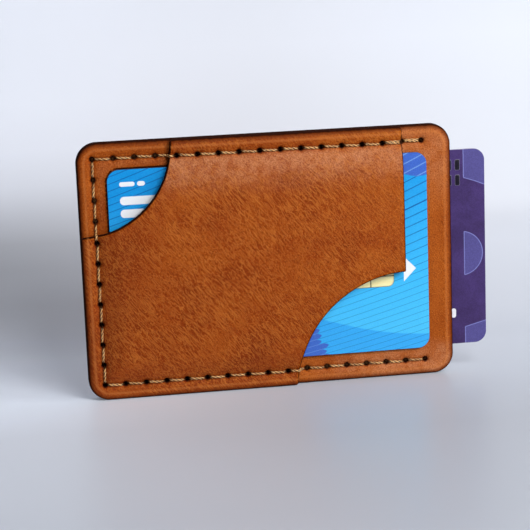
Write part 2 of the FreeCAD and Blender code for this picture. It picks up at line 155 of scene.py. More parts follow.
def seam_distance(p):
    """Distance to the stitch line."""
    best = np.full(len(p), np.inf)
    for first, last in zip(SEAM_TURNS, SEAM_TURNS[1:]):
        start, run = HOLES[first], HOLES[last] - HOLES[first]
        share = np.clip(((p - start) @ run) / (run @ run), 0, 1)
        best = np.minimum(best, np.hypot(*(p - start - share[:, None] * run).T))
    return best


def hole_distance(p, holes=HOLES):
    """Distance to the centre of the nearest hole."""
    best = np.full(len(p), np.inf)
    for hole in holes:
        best = np.minimum(best, np.hypot(*(p - hole).T))
    return best


def smooth(t):
    """Eases from 0 to 1."""
    t = np.clip(t, 0, 1)
    return t * t * (3 - 2 * t)


def ripple(p, seed, size, octaves=3):
    """Smooth repeatable unevenness, about -1 to 1, from a few rotated waves per octave."""
    waves = 5
    rng = np.random.default_rng(seed)
    total = np.zeros(len(p))
    for octave in range(octaves):
        for _ in range(waves):
            angle, phase = rng.uniform(0, math.tau, 2)
            k = math.tau / (size / 2**octave) * rng.uniform(0.7, 1.3)
            total += np.sin(k * (p @ (math.cos(angle), math.sin(angle))) + phase) / 2**octave
    return total / waves


# ---- flat outlines and their meshes

def arc(centre, radius, start, end, count=60):
    """Points on an arc, angles in degrees."""
    a = np.radians(np.linspace(start, end, count))
    return np.c_[centre[0] + radius * np.cos(a), centre[1] + radius * np.sin(a)]


def line(a, b, count=60):
    """Points on a straight line."""
    return np.linspace(a, b, count)


def front_panel_loop():
    """The front panel's outline, before its corners are rounded."""
    x0, top, r = -HALF, HEIGHT, WALLET_CORNER
    drop = math.sqrt(SWEEP_RADIUS**2 - SWEEP_CENTRE[1] ** 2)
    sweep_top = SWEEP_CENTRE[1] + math.sqrt(SWEEP_RADIUS**2 - (MOUTH_X - SWEEP_CENTRE[0]) ** 2)
    foot_angle = math.degrees(math.atan2(-SWEEP_CENTRE[1], -drop))
    top_angle = math.degrees(math.atan2(sweep_top - SWEEP_CENTRE[1], MOUTH_X - SWEEP_CENTRE[0]))
    return np.vstack([
        line((x0, top - WINDOW_RADIUS), (x0, r)),
        arc((x0 + r, r), r, 180, 270),
        line((x0 + r, 0), (SWEEP_CENTRE[0] - drop, 0)),
        arc(SWEEP_CENTRE, SWEEP_RADIUS, foot_angle, top_angle, 200),
        line((MOUTH_X, sweep_top), (MOUTH_X, top)),
        line((MOUTH_X, top), (x0 + WINDOW_RADIUS, top), 200),
        arc((x0, top), WINDOW_RADIUS, 0, -90, 200),
    ])


def rectangle_loop(low, high, radius):
    """A rectangle with round corners."""
    (x0, z0), (x1, z1), r = low, high, radius
    return np.vstack([
        line((x0 + r, z0), (x1 - r, z0)), arc((x1 - r, z0 + r), r, -90, 0, 24),
        line((x1, z0 + r), (x1, z1 - r)), arc((x1 - r, z1 - r), r, 0, 90, 24),
        line((x1 - r, z1), (x0 + r, z1)), arc((x0 + r, z1 - r), r, 90, 180, 24),
        line((x0, z1 - r), (x0, z0 + r)), arc((x0 + r, z0 + r), r, 180, 270, 24),
    ])


def back_panel_loop():
    """The back panel's outline: the full-size sheet with a half-round notch in its open side."""
    sheet = rectangle_loop((-HALF, 0), (HALF, HEIGHT), WALLET_CORNER)
    notch = arc((HALF, HEIGHT / 2), THUMB_RADIUS, -90, -270, 160)
    on_side = np.abs(sheet[:, 0] - HALF) < 1e-6
    cut = np.flatnonzero(on_side & (np.abs(sheet[:, 1] - HEIGHT / 2) < THUMB_RADIUS))
    return np.vstack([sheet[:cut[0]], notch, sheet[cut[-1] + 1:]])


def sample_loop(points, step):
    """Resamples a closed loop of points evenly."""
    closed = np.vstack([points, points[:1]])
    run = np.r_[0, np.cumsum(np.hypot(*np.diff(closed, axis=0).T))]
    count = max(12, int(round(run[-1] / step)))
    at = np.arange(count) * run[-1] / count
    return np.c_[np.interp(at, run, closed[:, 0]), np.interp(at, run, closed[:, 1])]


def on_level(points, field, level, rounds=5):
    """Moves points along a field's slope until they lie at the given distance."""
    h = 1e-4
    for _ in range(rounds):
        value = field(points)
        gx = (field(points + (h, 0)) - field(points - (h, 0))) / (2 * h)
        gz = (field(points + (0, h)) - field(points - (0, h))) / (2 * h)
        size = np.maximum(gx**2 + gz**2, 0.25)
        points = points + ((level - value) / size)[:, None] * np.c_[gx, gz]
    return points


def thin(points, kept_away, gap):
    """Drops points that lie closer than a gap to each other or to the points already placed."""
    taken = {}
    result = []

    def cell(p):
        """Square of a grid that a point falls in."""
        return int(p[0] // gap), int(p[1] // gap)

    for p in kept_away:
        taken.setdefault(cell(p), []).append(p)
    for p in points:
        i, j = cell(p)
        near = (q for di in (-1, 0, 1) for dj in (-1, 0, 1) for q in taken.get((i + di, j + dj), ()))
        if all((p[0] - q[0]) ** 2 + (p[1] - q[1]) ** 2 > gap * gap for q in near):
            taken.setdefault((i, j), []).append(p)
            result.append(p)
    return np.array(result).reshape(-1, 2)


EDGE_ANGLES = (18, 36, 54, 72, 90)  # where rings follow a rounded edge
MOUTH_GAPS = (0.05, 0.13, 0.24, 0.45, 0.75)  # where rings follow a hole's mouth, outward from it
RING_GAP = 0.035  # closest that two points of the rings may lie
TURNS = np.linspace(0, math.tau, 20, endpoint=False)
CIRCLE = np.c_[np.cos(TURNS), np.sin(TURNS)]


def ring_points(border, field, edge_radius, holes):
    """Rings of points along a border's rounded edge and round the holes."""
    depths = [edge_radius * (1 - math.cos(math.radians(angle))) for angle in EDGE_ANGLES]
    rings = [on_level(border, field, depth) for depth in depths]
    rings.append(on_level(border[::2], field, edge_radius * 1.6))
    return rings + [hole + (HOLE_RADIUS + gap) * CIRCLE for hole in holes for gap in MOUTH_GAPS]


def grid_points(outline, step):
    """Points of an even triangle grid over an outline's extent."""
    low, high = outline.min(0), outline.max(0)
    gx, gz = np.meshgrid(np.arange(low[0], high[0], step), np.arange(low[1], high[1], step * 0.866))
    gx[1::2] += step / 2
    return np.c_[gx.ravel(), gz.ravel()]


def triangulate(points, loops):
    """Triangulates points, the first of which are closed loops. Gives points, triangles and new numbers."""
    edges, start = [], 0
    for loop in loops:
        edges += [(start + k, start + (k + 1) % len(loop)) for k in range(len(loop))]
        start += len(loop)
    made = delaunay_2d_cdt([Vector(p) for p in points.tolist()], edges, [], 0, 1e-7)
    renumbered = {old: new for new, originals in enumerate(made[3]) for old in originals}
    return np.array([tuple(v) for v in made[0]]), np.array(made[2], int), renumbered


def sheet_mesh_2d(field, outline, holes, grid_step, edge_radius, outline_step=0.3, extra=()):
    """Triangulates a flat region. Gives its points, its triangles and the closed chains of its borders."""
    border = on_level(sample_loop(outline, outline_step), field, 0.0)
    inner = [hole for hole in holes if field(hole[None])[0] > HOLE_RADIUS + 0.25]
    borders = [border] + [hole + HOLE_RADIUS * CIRCLE for hole in inner]
    loops = borders + list(extra)
    fixed = np.vstack(loops)
    rings = ring_points(border, field, edge_radius, inner)
    free = np.vstack([thin(ring, () if k else fixed, RING_GAP) for k, ring in enumerate(rings)])
    free = free[(field(free) > 0.004) & (hole_distance(free, inner) > HOLE_RADIUS + 0.02)]
    grid = grid_points(outline, grid_step)
    grid = grid[(field(grid) > edge_radius * 1.2) & (hole_distance(grid, inner) > HOLE_RADIUS + 0.1)]
    grid = thin(grid, np.vstack([fixed, free]), grid_step * 0.45)
    flat, triangles, renumbered = triangulate(np.vstack([fixed, free, grid]), loops)
    middle = flat[triangles].mean(1)
    triangles = triangles[(field(middle) > 0) & (hole_distance(middle, inner) > HOLE_RADIUS * 0.97)]
    chains, start = [], 0
    for loop in borders:
        chains.append(np.array([renumbered[start + k] for k in range(len(loop))]))
        start += len(loop)
    return flat, triangles, chains


def new_object(name, vertices, faces, attributes):
    """Makes a smooth mesh object from millimetre vertices, with float attributes for its material."""
    mesh = bpy.data.meshes.new(name)
    mesh.from_pydata((np.asarray(vertices) * MM).tolist(), [], [list(map(int, f)) for f in faces])
    for key, values in attributes.items():
        layer = mesh.attributes.new(key, "FLOAT", "POINT")
        layer.data.foreach_set("value", np.asarray(values, np.float32))
    made = bmesh.new()
    made.from_mesh(mesh)
    bmesh.ops.delete(made, geom=[v for v in made.verts if not v.link_faces], context="VERTS")
    bmesh.ops.recalc_face_normals(made, faces=made.faces)
    made.to_mesh(mesh)
    made.free()
    mesh.shade_smooth()
    mesh.update()
    item = bpy.data.objects.new(name, mesh)
    bpy.context.scene.collection.objects.link(item)
    return item


def outward_normals(p):
    """Unit vectors that point out of a closed chain of points."""
    ahead, behind = np.roll(p, -1, axis=0), np.roll(p, 1, axis=0)
    tangent = ahead - behind
    normal = np.c_[tangent[:, 1], -tangent[:, 0]] / np.maximum(np.hypot(*tangent.T), 1e-9)[:, None]
    area = np.sum(p[:, 0] * ahead[:, 1] - ahead[:, 0] * p[:, 1])
    return -normal if area < 0 else normal


def strip(upper, lower):
    """Faces between two closed rows of vertices."""
    return list(zip(upper, np.roll(upper, -1), np.roll(lower, -1), lower))


def solid_sheet(name, sheet, outer_y, inner_y, attributes, wall_rows=3, belly=0.0):
    """Closes a triangulated sheet into a solid between two surfaces, with a wall along each border."""
    flat, triangles, chains = sheet
    n = len(flat)
    vertices = [np.c_[flat[:, 0], y, flat[:, 1]] for y in (outer_y, inner_y)]
    faces = [tuple(t) for t in triangles] + [tuple(t[::-1] + n) for t in triangles]
    values = {key: [v, v] for key, v in attributes.items()}
    values["side"] = [np.ones(n), -np.ones(n)]
    total = 2 * n
    for number, chain in enumerate(chains):
        normal = outward_normals(flat[chain])
        rows = [chain]
        for row in range(1, wall_rows + 1):
            share = row / (wall_rows + 1)
            y = outer_y[chain] * (1 - share) + inner_y[chain] * share
            push = 0.0 if number else belly * math.sin(math.pi * share)
            place = flat[chain] + normal * push
            vertices.append(np.c_[place[:, 0], y, place[:, 1]])
            rows.append(np.arange(total, total + len(chain)))
            values["side"].append(np.zeros(len(chain)))
            for key, v in attributes.items():
                values[key].append(v[chain])
            total += len(chain)
        rows.append(chain + n)
        for upper, lower in zip(rows, rows[1:]):
            faces += strip(upper, lower)
    return new_object(name, np.vstack(vertices), faces, {key: np.concatenate(v) for key, v in values.items()})


# ---- leather

EDGE_ROUND = 0.8  # rounding of a panel's burnished outer edge
CUT_ROUND = 0.3  # rounding of a panel's window, sweep, mouth and notch edges
INNER_ROUND = 0.25  # rounding of the edge that lies on the next panel
RIM_ROUND = 0.16  # rounding of an awl hole's mouth
EDGE_BELLY = 0.1  # how far a panel's edge bulges
PANEL_GAP = 0.01  # between two panels
GROOVE_DEPTH = 0.4  # how far the thread pulls the leather in along the seam
GROOVE_WIDTH = 1.0
FUNNEL_DEPTH = 0.28  # how much further it pulls it in round a hole
FUNNEL_WIDTH = 0.55
POCKET_FOOT = 4.5  # wallet's edge to where a pocket's inner face starts to stand off
POCKET_FULL = 7.0  # wallet's edge to where its inner face stands off fully
POCKET_CORNER = 7.0  # rounding of a pocket's two corners
SHOULDER_FOOT = 3.6  # the foot and full places for its outer face, which bends more gently
SHOULDER_FULL = 10.5
PILLOW = 0.9  # how far the middle of a pocket swells
PILLOW_RUN = 8.0  # how quickly that swelling builds up inward
CROWN = 0.16  # how far the strip outside the seam swells
WRINKLE_DEPTH = 0.016
WRINKLE_SLANT = math.radians(-48)


def inside_seam_sides(p):
    """Distance inside the three sewn sides."""
    return both(p[:, 0] + HALF, np.minimum(p[:, 1], HEIGHT - p[:, 1]), POCKET_CORNER)


def pocket_rise(p, foot, full):
    """How far a pocket's leather stands off for its card: nothing at the seam, all of it over the card."""
    return STAND_OFF * smooth((inside_seam_sides(p) - foot) / (full - foot))


def rounding(d, radius):
    """How far a quarter-round edge has dropped at distance d inside it."""
    gap = np.clip(radius - d, 0, radius)
    return radius - np.sqrt(np.maximum(radius**2 - gap**2, 0))


def seam_dip(p):
    """How far the thread pulls the leather in along the seam and at each hole."""
    rho = hole_distance(p)
    groove = GROOVE_DEPTH * np.exp(-((seam_distance(p) / GROOVE_WIDTH) ** 2))
    funnel = FUNNEL_DEPTH * np.exp(-((np.maximum(rho - HOLE_RADIUS, 0) / FUNNEL_WIDTH) ** 2))
    return groove + funnel + rounding(rho - HOLE_RADIUS, RIM_ROUND)


def crown(p):
    """How far the strip between the seam and the outer edge swells."""
    d = inside_sheet(p)
    return CROWN * smooth(d / 2.0) * (1 - smooth((d - 2.0) / 2.0))


def pillow(p, seed):
    """How far a pocket swells past its card, with gentle unevenness."""
    rise = 1 - np.exp(-np.maximum(inside_seam_sides(p) - POCKET_FOOT, 0) / PILLOW_RUN)
    dents = 0.012 * ripple(p, seed + 5, 5, 2) * smooth(rise * 4)
    return rise * (PILLOW + 0.14 * ripple(p, seed, 34, 2)) + dents


def wrinkles(p, seed):
    """Fine slanting creases of the grain, in mm."""
    along = p @ (math.cos(WRINKLE_SLANT), math.sin(WRINKLE_SLANT))
    across = p @ (-math.sin(WRINKLE_SLANT), math.cos(WRINKLE_SLANT))
    bend = 0.8 * ripple(p, seed, 12, 2)
    stretched = np.c_[along / 3.2, (across + bend) / 0.85]
    return WRINKLE_DEPTH * ripple(stretched, seed + 1, 1.6, 2) * (0.6 + 0.4 * ripple(p, seed + 2, 16, 1))


def outer_rise(p, pillow_seed, wrinkle_seed):
    """How far a pocket's outer face rises from its seam, without the thread's pull."""
    swell = pocket_rise(p, SHOULDER_FOOT, SHOULDER_FULL) + pillow(p, pillow_seed) + crown(p)
    return LEATHER + swell + wrinkles(p, wrinkle_seed)


def front_outer(p):
    """Y of the front panel's outer face, without its edges."""
    return CENTRE_LOW[1] - outer_rise(p, SEED, SEED) + seam_dip(p)


def centre_outer(p):
    """Y of the centre panel's front face, without its edges."""
    return CENTRE_LOW[1] - crown(p) - 0.3 * wrinkles(p, SEED + 20) + 0.8 * seam_dip(p)


def back_outer(p):
    """Y of the back panel's outer face, without its edges."""
    return CENTRE_HIGH[1] + outer_rise(p, SEED + 1, SEED + 30) - 0.9 * seam_dip(p)


def shoulder_sheen(p):
    """Painted sheen where a pocket bends over its card, mostly along the top where the light catches it."""
    d = inside_seam_sides(p)
    band = smooth((d - SEAM_INSET) / 1.5) * (1 - smooth((d - 6.0) / 11.0))
    return band * (0.03 + 0.97 * smooth((p[:, 1] - 44) / 14))


def leather_values(flat, rim, cut, sheen_share=1.0):
    """What the leather's material reads: distances to the edges (on the divider, to the front card's
    outline), the seam and the holes, and painted sheen.
    """
    return {
        "rim": np.clip(rim, 0, 8),
        "cut": np.clip(cut, 0, 8),
        "seam": np.clip(seam_distance(flat), 0, 12),
        "hole": np.clip(hole_distance(flat), 0, 8),
        "painted_sheen": shoulder_sheen(flat) * sheen_share,
    }


GRID = 0.7


def make_pocket(facing, field, cuts, loop, surface, seed):
    """A pocket's panel, which stands off over its card. facing is -1 at the front and 1 at the back."""
    name = "front_panel_leather" if facing < 0 else "back_panel_leather"
    sheet = sheet_mesh_2d(field, loop, HOLES, GRID, EDGE_ROUND)
    flat = sheet[0]
    rim, cut = inside_sheet(flat), cuts(flat)
    outer = surface(flat) - facing * np.maximum(rounding(rim, EDGE_ROUND), rounding(cut, CUT_ROUND))
    rise = pocket_rise(flat, POCKET_FOOT, POCKET_FULL) + 0.4 * pillow(flat, seed)
    centre_face = CENTRE_LOW[1] if facing < 0 else CENTRE_HIGH[1]
    inner = centre_face + facing * (PANEL_GAP + rise + rounding(field(flat), INNER_ROUND))
    return solid_sheet(name, sheet, outer, inner, leather_values(flat, rim, cut), belly=EDGE_BELLY)


def make_centre_panel():
    """The divider between the two pockets, with a painted shadow line round the front card's edge on its left
    half.
    """
    loop = rectangle_loop((-HALF, 0), (HALF, HEIGHT), WALLET_CORNER)
    sheet = sheet_mesh_2d(inside_sheet, loop, HOLES, GRID, EDGE_ROUND)
    flat = sheet[0]
    x, z = flat.T
    rim = inside_sheet(flat)
    outer = centre_outer(flat) + rounding(rim, EDGE_ROUND)
    inner = CENTRE_HIGH[1] - PANEL_GAP - rounding(rim, INNER_ROUND)
    card_low, card_high = node_box("front_card_body")
    card = inside_rectangle(flat, card_low[XZ], card_high[XZ], CARD_CORNER)
    # A thin dark line just outside the front card's outline on the divider's left half: painted shadow of the
    # card's edge, carried by the cut attribute.
    card_shadow_line = np.where(x < 0, np.abs(card + 0.15), 50)
    values = leather_values(flat, rim, card_shadow_line, 0.2)
    # Painted sheen on the divider's right half near its bottom and its top, where the light catches it.
    sheen_ends = 0.95 * smooth((11 - z) / 6) + 0.55 * smooth((z - 42) / 20)
    values["painted_sheen"] += sheen_ends * smooth((x - 5) / 30)
    return solid_sheet("centre_panel_leather", sheet, outer, inner, values, belly=EDGE_BELLY)


# ---- thread

HOLE_SIDE = 0.42  # where a strand enters a hole, along the seam from the hole's centre
STRAND_SLANT = 0.14  # where it enters, across the seam
CROSSING = 0.26  # strand to the hole's axis halfway through
DIVE_RUN = 0.55  # how far along the seam a stitch's end bends down into its hole
DIVE_DEPTH = 0.45  # how deep in its hole that bend ends
STITCH_ARCH = 0.14  # how far a stitch's middle stands off the leather
SECOND_PASS = 0.92  # size of a second pass of thread, against the first
TWIST_PITCH = 2.5  # one turn of the plies
PLIES = 2
TUBE_SIDES = 14
TUCK = 0.2  # Y of a strand's two ends, inside their holes
STRAND_STEP = 0.15


def top_surface(p):
    """Y of whatever leather is outermost at the front."""
    return np.where(inside_front_panel(p) > -0.05, front_outer(p), centre_outer(p))


def drape(a, b, surface, facing, count=9):
    """Points of one stitch from a to b, lying on the surface. facing is -1 at the front and 1 at the back."""
    fine = np.linspace(0.0, 1.0, 81)
    under = surface(a + (b - a) * fine[:, None]) * facing
    reach = 5
    highest_near = np.array([under[max(0, k - reach):k + reach + 1].max() for k in range(len(under))])
    kernel = np.hanning(13)
    soft = np.convolve(np.pad(highest_near, 6, mode="edge"), kernel / kernel.sum(), mode="valid")
    share = np.linspace(0.0, 1.0, count)
    height = np.interp(share, fine, soft) + THREAD_RADIUS * 0.5 + STITCH_ARCH * np.sin(math.pi * share)
    place = a + (b - a) * share[:, None]
    return np.c_[place[:, 0], height * facing, place[:, 1]]


def stitch_points(a, b, surface, facing):
    """One stitch with the two bends where it dives into its holes."""
    run = (b - a) / np.hypot(*(b - a))
    lying = drape(a + run * DIVE_RUN, b - run * DIVE_RUN, surface, facing)
    dives = [(q[0], surface(q[None])[0] - facing * DIVE_DEPTH, q[1]) for q in (a, b)]
    return [dives[0]] + [tuple(q) for q in lying] + [dives[1]]


def gap_ends(n, before, after):
    """Where a strand leaves hole n and enters the next, each moved outward by a distance."""
    run = HOLES[n + 1] - HOLES[n]
    inset = run / np.hypot(*run) * HOLE_SIDE
    return HOLES[n] + inset + OUTWARD[n] * before, HOLES[n + 1] - inset + OUTWARD[n + 1] * after


def strand_points(first_in_front):
    """Control points of one strand, weaving through every hole of the seam."""
    rng = np.random.default_rng(SEED + (1 if first_in_front else 2))
    points = []
    for n in range(len(HOLES) - 1):
        facing = -1 if (n % 2 == 0) == first_in_front else 1
        shift = rng.normal(0, 0.05, 2)
        a, b = gap_ends(n, -STRAND_SLANT - shift[0], STRAND_SLANT + shift[1])
        points += stitch_points(a, b, top_surface if facing < 0 else back_outer, facing)
        if n < len(HOLES) - 2:
            middle = HOLES[n + 1] + OUTWARD[n + 1] * CROSSING * (1 if first_in_front else -1)
            points.append((middle[0], 0.0, middle[1]))
    (x0, _, z0), (x1, _, z1) = points[0], points[-1]
    return np.array([(x0, TUCK, z0)] + points + [(x1, TUCK, z1)])


def second_pass_points(n):
    """Points of a second pass of thread over gap n of the seam, beside the first."""
    a, b = gap_ends(n, 0.36, 0.3)
    points = stitch_points(a, b, top_surface, -1)
    return np.array([(a[0], 0.0, a[1])] + points + [(b[0], 0.0, b[1])])


def thread_end_points(n, side):
    """Points of a strand's cut end, tucked into a hole from the back and pressed flat there."""
    x, z = HOLES[n]
    back = back_outer(HOLES[n][None])[0]
    return np.array([
        (x + 0.1 * side, -0.3, z),
        (x, 0.9, z),
        (x - 0.1 * side, back - 0.1, z),
        (x + 0.25, back + 0.12, z - 0.3),
    ])


def path_lengths(points):
    """How far along a path of points each of them lies."""
    return np.r_[0, np.cumsum(np.linalg.norm(np.diff(points, axis=0), axis=1))]


def smooth_path(points):
    """A Catmull-Rom curve through the points, resampled evenly."""
    padded = np.vstack([2 * points[0] - points[1], points, 2 * points[-1] - points[-2]])
    pieces = []
    t = np.linspace(0, 1, 12, endpoint=False)[:, None]
    for k in range(len(points) - 1):
        a, b, c, d = padded[k:k + 4]
        bend, turn = 2 * a - 5 * b + 4 * c - d, 3 * b - a - 3 * c + d
        pieces.append(0.5 * (2 * b + (c - a) * t + bend * t**2 + turn * t**3))
    curve = np.vstack(pieces + [points[-1:]])
    run = path_lengths(curve)
    at = np.linspace(0, run[-1], int(run[-1] / STRAND_STEP))
    return np.c_[[np.interp(at, run, curve[:, k]) for k in range(3)]].T


def twisted_tube(points, radius, phase):
    """A tube of twisted plies, swollen where it fills a hole. Gives vertices, faces and ply values."""
    path = smooth_path(points)
    count = len(path)
    filling = smooth((0.5 - hole_distance(path[:, XZ])) / 0.2) * smooth((1.6 - np.abs(path[:, 1])) / 0.5)
    tangent = np.gradient(path, axis=0)
    tangent /= np.linalg.norm(tangent, axis=1)[:, None]
    up = np.cross(tangent[0], (0.3, 0.5, 0.8))
    up /= np.linalg.norm(up)
    turns = math.tau * path_lengths(path) / TWIST_PITCH + phase
    angles = np.linspace(0, math.tau, TUBE_SIDES, endpoint=False)
    rings, ply, faces = [], [], []
    for k in range(count):
        up = up - tangent[k] * (up @ tangent[k])
        up /= np.linalg.norm(up)
        across = np.cross(tangent[k], up)
        lobe = np.abs(np.cos(PLIES * (angles - turns[k]) / 2))
        taper = min(1.0, 0.35 + 2 * min(k, count - 1 - k) / 10)
        size = radius * (0.58 + 0.5 * lobe) * taper * (1 + 0.7 * filling[k])
        rings.append(path[k] + np.outer(size * np.cos(angles), up) + np.outer(size * np.sin(angles), across))
        ply.append(lobe)
    numbers = np.arange(count * TUBE_SIDES).reshape(count, TUBE_SIDES)
    for ring, following in zip(numbers, numbers[1:]):
        faces += strip(ring, following)
    faces += [tuple(numbers[0][::-1]), tuple(numbers[-1])]
    return np.vstack(rings), faces, np.concatenate(ply)


def make_strand(name, first_in_front, doubled_gap):
    """One strand of the saddle stitch, with its doubled stitch and its cut end."""
    phase, side, end = (0.4, 1, 0) if first_in_front else (2.0, -1, len(HOLES) - 1)
    parts = (
        twisted_tube(strand_points(first_in_front), THREAD_RADIUS, phase),
        twisted_tube(second_pass_points(doubled_gap), THREAD_RADIUS * SECOND_PASS, 1.1 + doubled_gap),
        twisted_tube(thread_end_points(end, side), 0.5, phase),
    )
    faces, offset = [], 0
    for part_vertices, part_faces, _ in parts:
        faces += [tuple(i + offset for i in face) for face in part_faces]
        offset += len(part_vertices)
    vertices = np.vstack([part[0] for part in parts])
    flat = vertices[:, XZ]
    return new_object(name, vertices, faces, {
        "ply": np.concatenate([part[2] for part in parts]),
        "above": np.maximum(top_surface(flat) - vertices[:, 1], vertices[:, 1] - back_outer(flat)),
        "mouth": HOLE_RADIUS - hole_distance(flat),
    })


# ---- node materials

MIX_SHARE, MIX_A, MIX_B, MIX_RESULT = 0, 6, 7, 2  # sockets of a mix node that mixes colours


class Value:
    """An output of a material node. Its operators and methods add the nodes that work on it."""

    def __init__(self, nodes, socket):
        self.nodes = nodes
        self.socket = socket

    def maths(self, operation, *others):
        """A maths node on this value and others."""
        return self.nodes.value(0, "Math", dict(enumerate((self, *others))), operation=operation)

    def __add__(self, other):
        return self.maths("ADD", other)

    def __sub__(self, other):
        return self.maths("SUBTRACT", other)

    def __mul__(self, other):
        return self.maths("MULTIPLY", other)

    def __pow__(self, other):
        return self.maths("POWER", other)

    def __abs__(self):
        return self.maths("ABSOLUTE")

    def fade(self, start, end, low=0.0, high=1.0):
        """Maps a span onto another, eased and clamped."""
        spans = {"Value": self, "From Min": start, "From Max": end, "To Min": low, "To Max": high}
        return self.nodes.value("Result", "MapRange", spans, interpolation_type="SMOOTHSTEP")

    def ramp(self, *stops):
        """Colours at given values from 0 to 1, in a straight line between them."""
        node = self.nodes.add("ValToRGB", {"Fac": self})
        elements = node.color_ramp.elements
        while len(elements) < len(stops):
            elements.new(0.5)
        for element, (at, colour) in zip(elements, stops):
            element.position = at
            element.color = (*colour, 1)
        return Value(self.nodes, node.outputs["Color"])

    def split(self):
        """The X, Y and Z of a vector."""
        node = self.nodes.add("SeparateXYZ", {"Vector": self})
        return [Value(self.nodes, socket) for socket in node.outputs]


class Nodes:
    """The nodes of a new material, or of a new world."""

    def __init__(self, name, blocks=bpy.data.materials, kind="Material"):
        self.block = blocks.new(name)
        self.block.use_nodes = True
        self.tree = self.block.node_tree
        self.tree.nodes.clear()
        self.out = self.tree.nodes.new("ShaderNodeOutput" + kind)

    def put(self, socket, value):
        """Links a value to a socket, or sets the socket to a number, a vector or a colour."""
        if isinstance(value, Value):
            self.tree.links.new(value.socket, socket)
        elif socket.type == "RGBA":
            socket.default_value = (*value, 1)
        else:
            socket.default_value = value

    def add(self, kind, inputs=None, **settings):
        """Adds a node with its settings and inputs."""
        node = self.tree.nodes.new("ShaderNode" + kind)
        for key, value in settings.items():
            setattr(node, key, value)
        for key, value in (inputs or {}).items():
            self.put(node.inputs[key], value)
        return node

    def value(self, output, kind, inputs=None, **settings):
        """Adds a node and gives one of its outputs."""
        return Value(self, self.add(kind, inputs, **settings).outputs[output])

    def attribute(self, name):
        """One of the mesh's float attributes."""
        return self.value("Fac", "Attribute", attribute_name=name)

    def place(self, shift=(0, 0, 0)):
        """Object coordinates in millimetres, shifted."""
        metres = self.value("Object", "TexCoord")
        millimetres = self.value(0, "VectorMath", {0: metres, "Scale": 1 / MM}, operation="SCALE")
        return self.value(0, "Mapping", {"Vector": millimetres, "Location": shift})

    def stretched(self, sizes, degrees, shift=(0, 0, 0)):
        """Object coordinates turned about Y and divided by sizes, which stretches a pattern."""
        inputs = {"Vector": self.place(shift), "Rotation": (0, math.radians(degrees), 0), "Scale": sizes}
        return self.value(0, "Mapping", inputs, vector_type="TEXTURE")

    def noise(self, place, scale, detail=3.0, rough=0.55, distort=0.0):
        """Cloudy noise from 0 to 1, mostly near 0.5."""
        return self.value("Fac", "TexNoise", {"Vector": place, "Scale": scale, "Detail": detail,
                                              "Roughness": rough, "Distortion": distort})

    def mix(self, share, a, b, blend="MIX"):
        """Colour a where the share is 0 and colour b where it is 1."""
        inputs = {MIX_SHARE: share, MIX_A: a, MIX_B: b}
        return self.value(MIX_RESULT, "Mix", inputs, data_type="RGBA", blend_type=blend)

    def layered(self, colour, *layers):
        """Lays colours over a first one, each where its mask is 1."""
        for mask, over in layers:
            colour = self.mix(mask, colour, over)
        return colour

    def bump(self, height, distance):
        """Surface direction for a relief whose heights are 0 to 1 times a distance in millimetres."""
        return self.value("Normal", "Bump", {"Height": height, "Distance": distance * MM, "Strength": 1.0})

    def principled(self, **inputs):
        """The standard shader. An underscore in an input's name stands for a space."""
        spaced = {key.replace("_", " "): value for key, value in inputs.items()}
        return self.value(0, "BsdfPrincipled", spaced)

    def finish(self, shader):
        """Shows a shader and gives the finished material or world."""
        self.put(self.out.inputs["Surface"], shader)
        return self.block

    def surface(self, **inputs):
        """Finishes with the standard shader."""
        return self.finish(self.principled(**inputs))


def highest(first, *others):
    """The largest of some values, which also joins masks."""
    for other in others:
        first = first.maths("MAXIMUM", other)
    return first


def stroke(distance, width):
    """Mask of a thin line where a distance is near zero."""
    return abs(distance).fade(width * 0.5 + 0.07, width * 0.5 - 0.05)


# ---- leather and thread materials

LIGHT_GRAIN = (0.58, 0.175, 0.025)
DARK_GRAIN = (0.14, 0.023, 0.002)
# Colour of the painted sheen where the light catches the leather.
SHEEN_COLOUR = (0.62, 0.27, 0.13)
REDDENED = (0.12, 0.02, 0.004)
# Colour of burnished edges, and of the painted shadow round the front card on the divider.
BURNISH_AND_SHADOW = (0.03, 0.007, 0.003)
# Colour of a painted highlight along the crest of the strip between the outer edge and the seam.
CROWN_HIGHLIGHT = (0.6, 0.2, 0.05)
# Colour of the painted shade in the groove along the seam.
SEAM_SHADE = (0.08, 0.016, 0.004)
# Colour of the painted shade in and round the awl holes.
HOLE_SHADE = (0.045, 0.007, 0.006)
TONES_FRONT = ((0.37, (0.215, 0.025, 0.001)), (0.54, (0.28, 0.04, 0.002)), (0.72, (0.38, 0.078, 0.006)))
TONES_CENTRE = ((0.37, (0.26, 0.04, 0.002)), (0.54, (0.32, 0.056, 0.003)), (0.72, (0.4, 0.085, 0.007)))
TONES_BACK = ((0.37, (0.27, 0.042, 0.004)), (0.54, (0.34, 0.062, 0.006)), (0.72, (0.42, 0.095, 0.012)))


def leather_marks(n, here, shift, lined):
    """Masks of slanting creases, of light scratches and of dark ones, stronger in patches."""
    patch = n.noise(here, 0.1, 2).fade(0.35, 0.6, 0.45, 1.0) * lined
    creases = n.noise(n.stretched((4.0, 1.1, 0.9), 54, shift), 1.0, 1, 0.5, 0.3)
    hatch = n.noise(n.stretched((2.2, 0.25, 0.25), 50, shift), 1.0, 0, 0.5, 0.15)
    crease = abs(creases - 0.5).fade(0.035, 0.01, 0, 0.8)
    return crease * patch, hatch.fade(0.54, 0.64, 0, 0.65) * patch, hatch.fade(0.46, 0.36, 0, 0.4) * patch


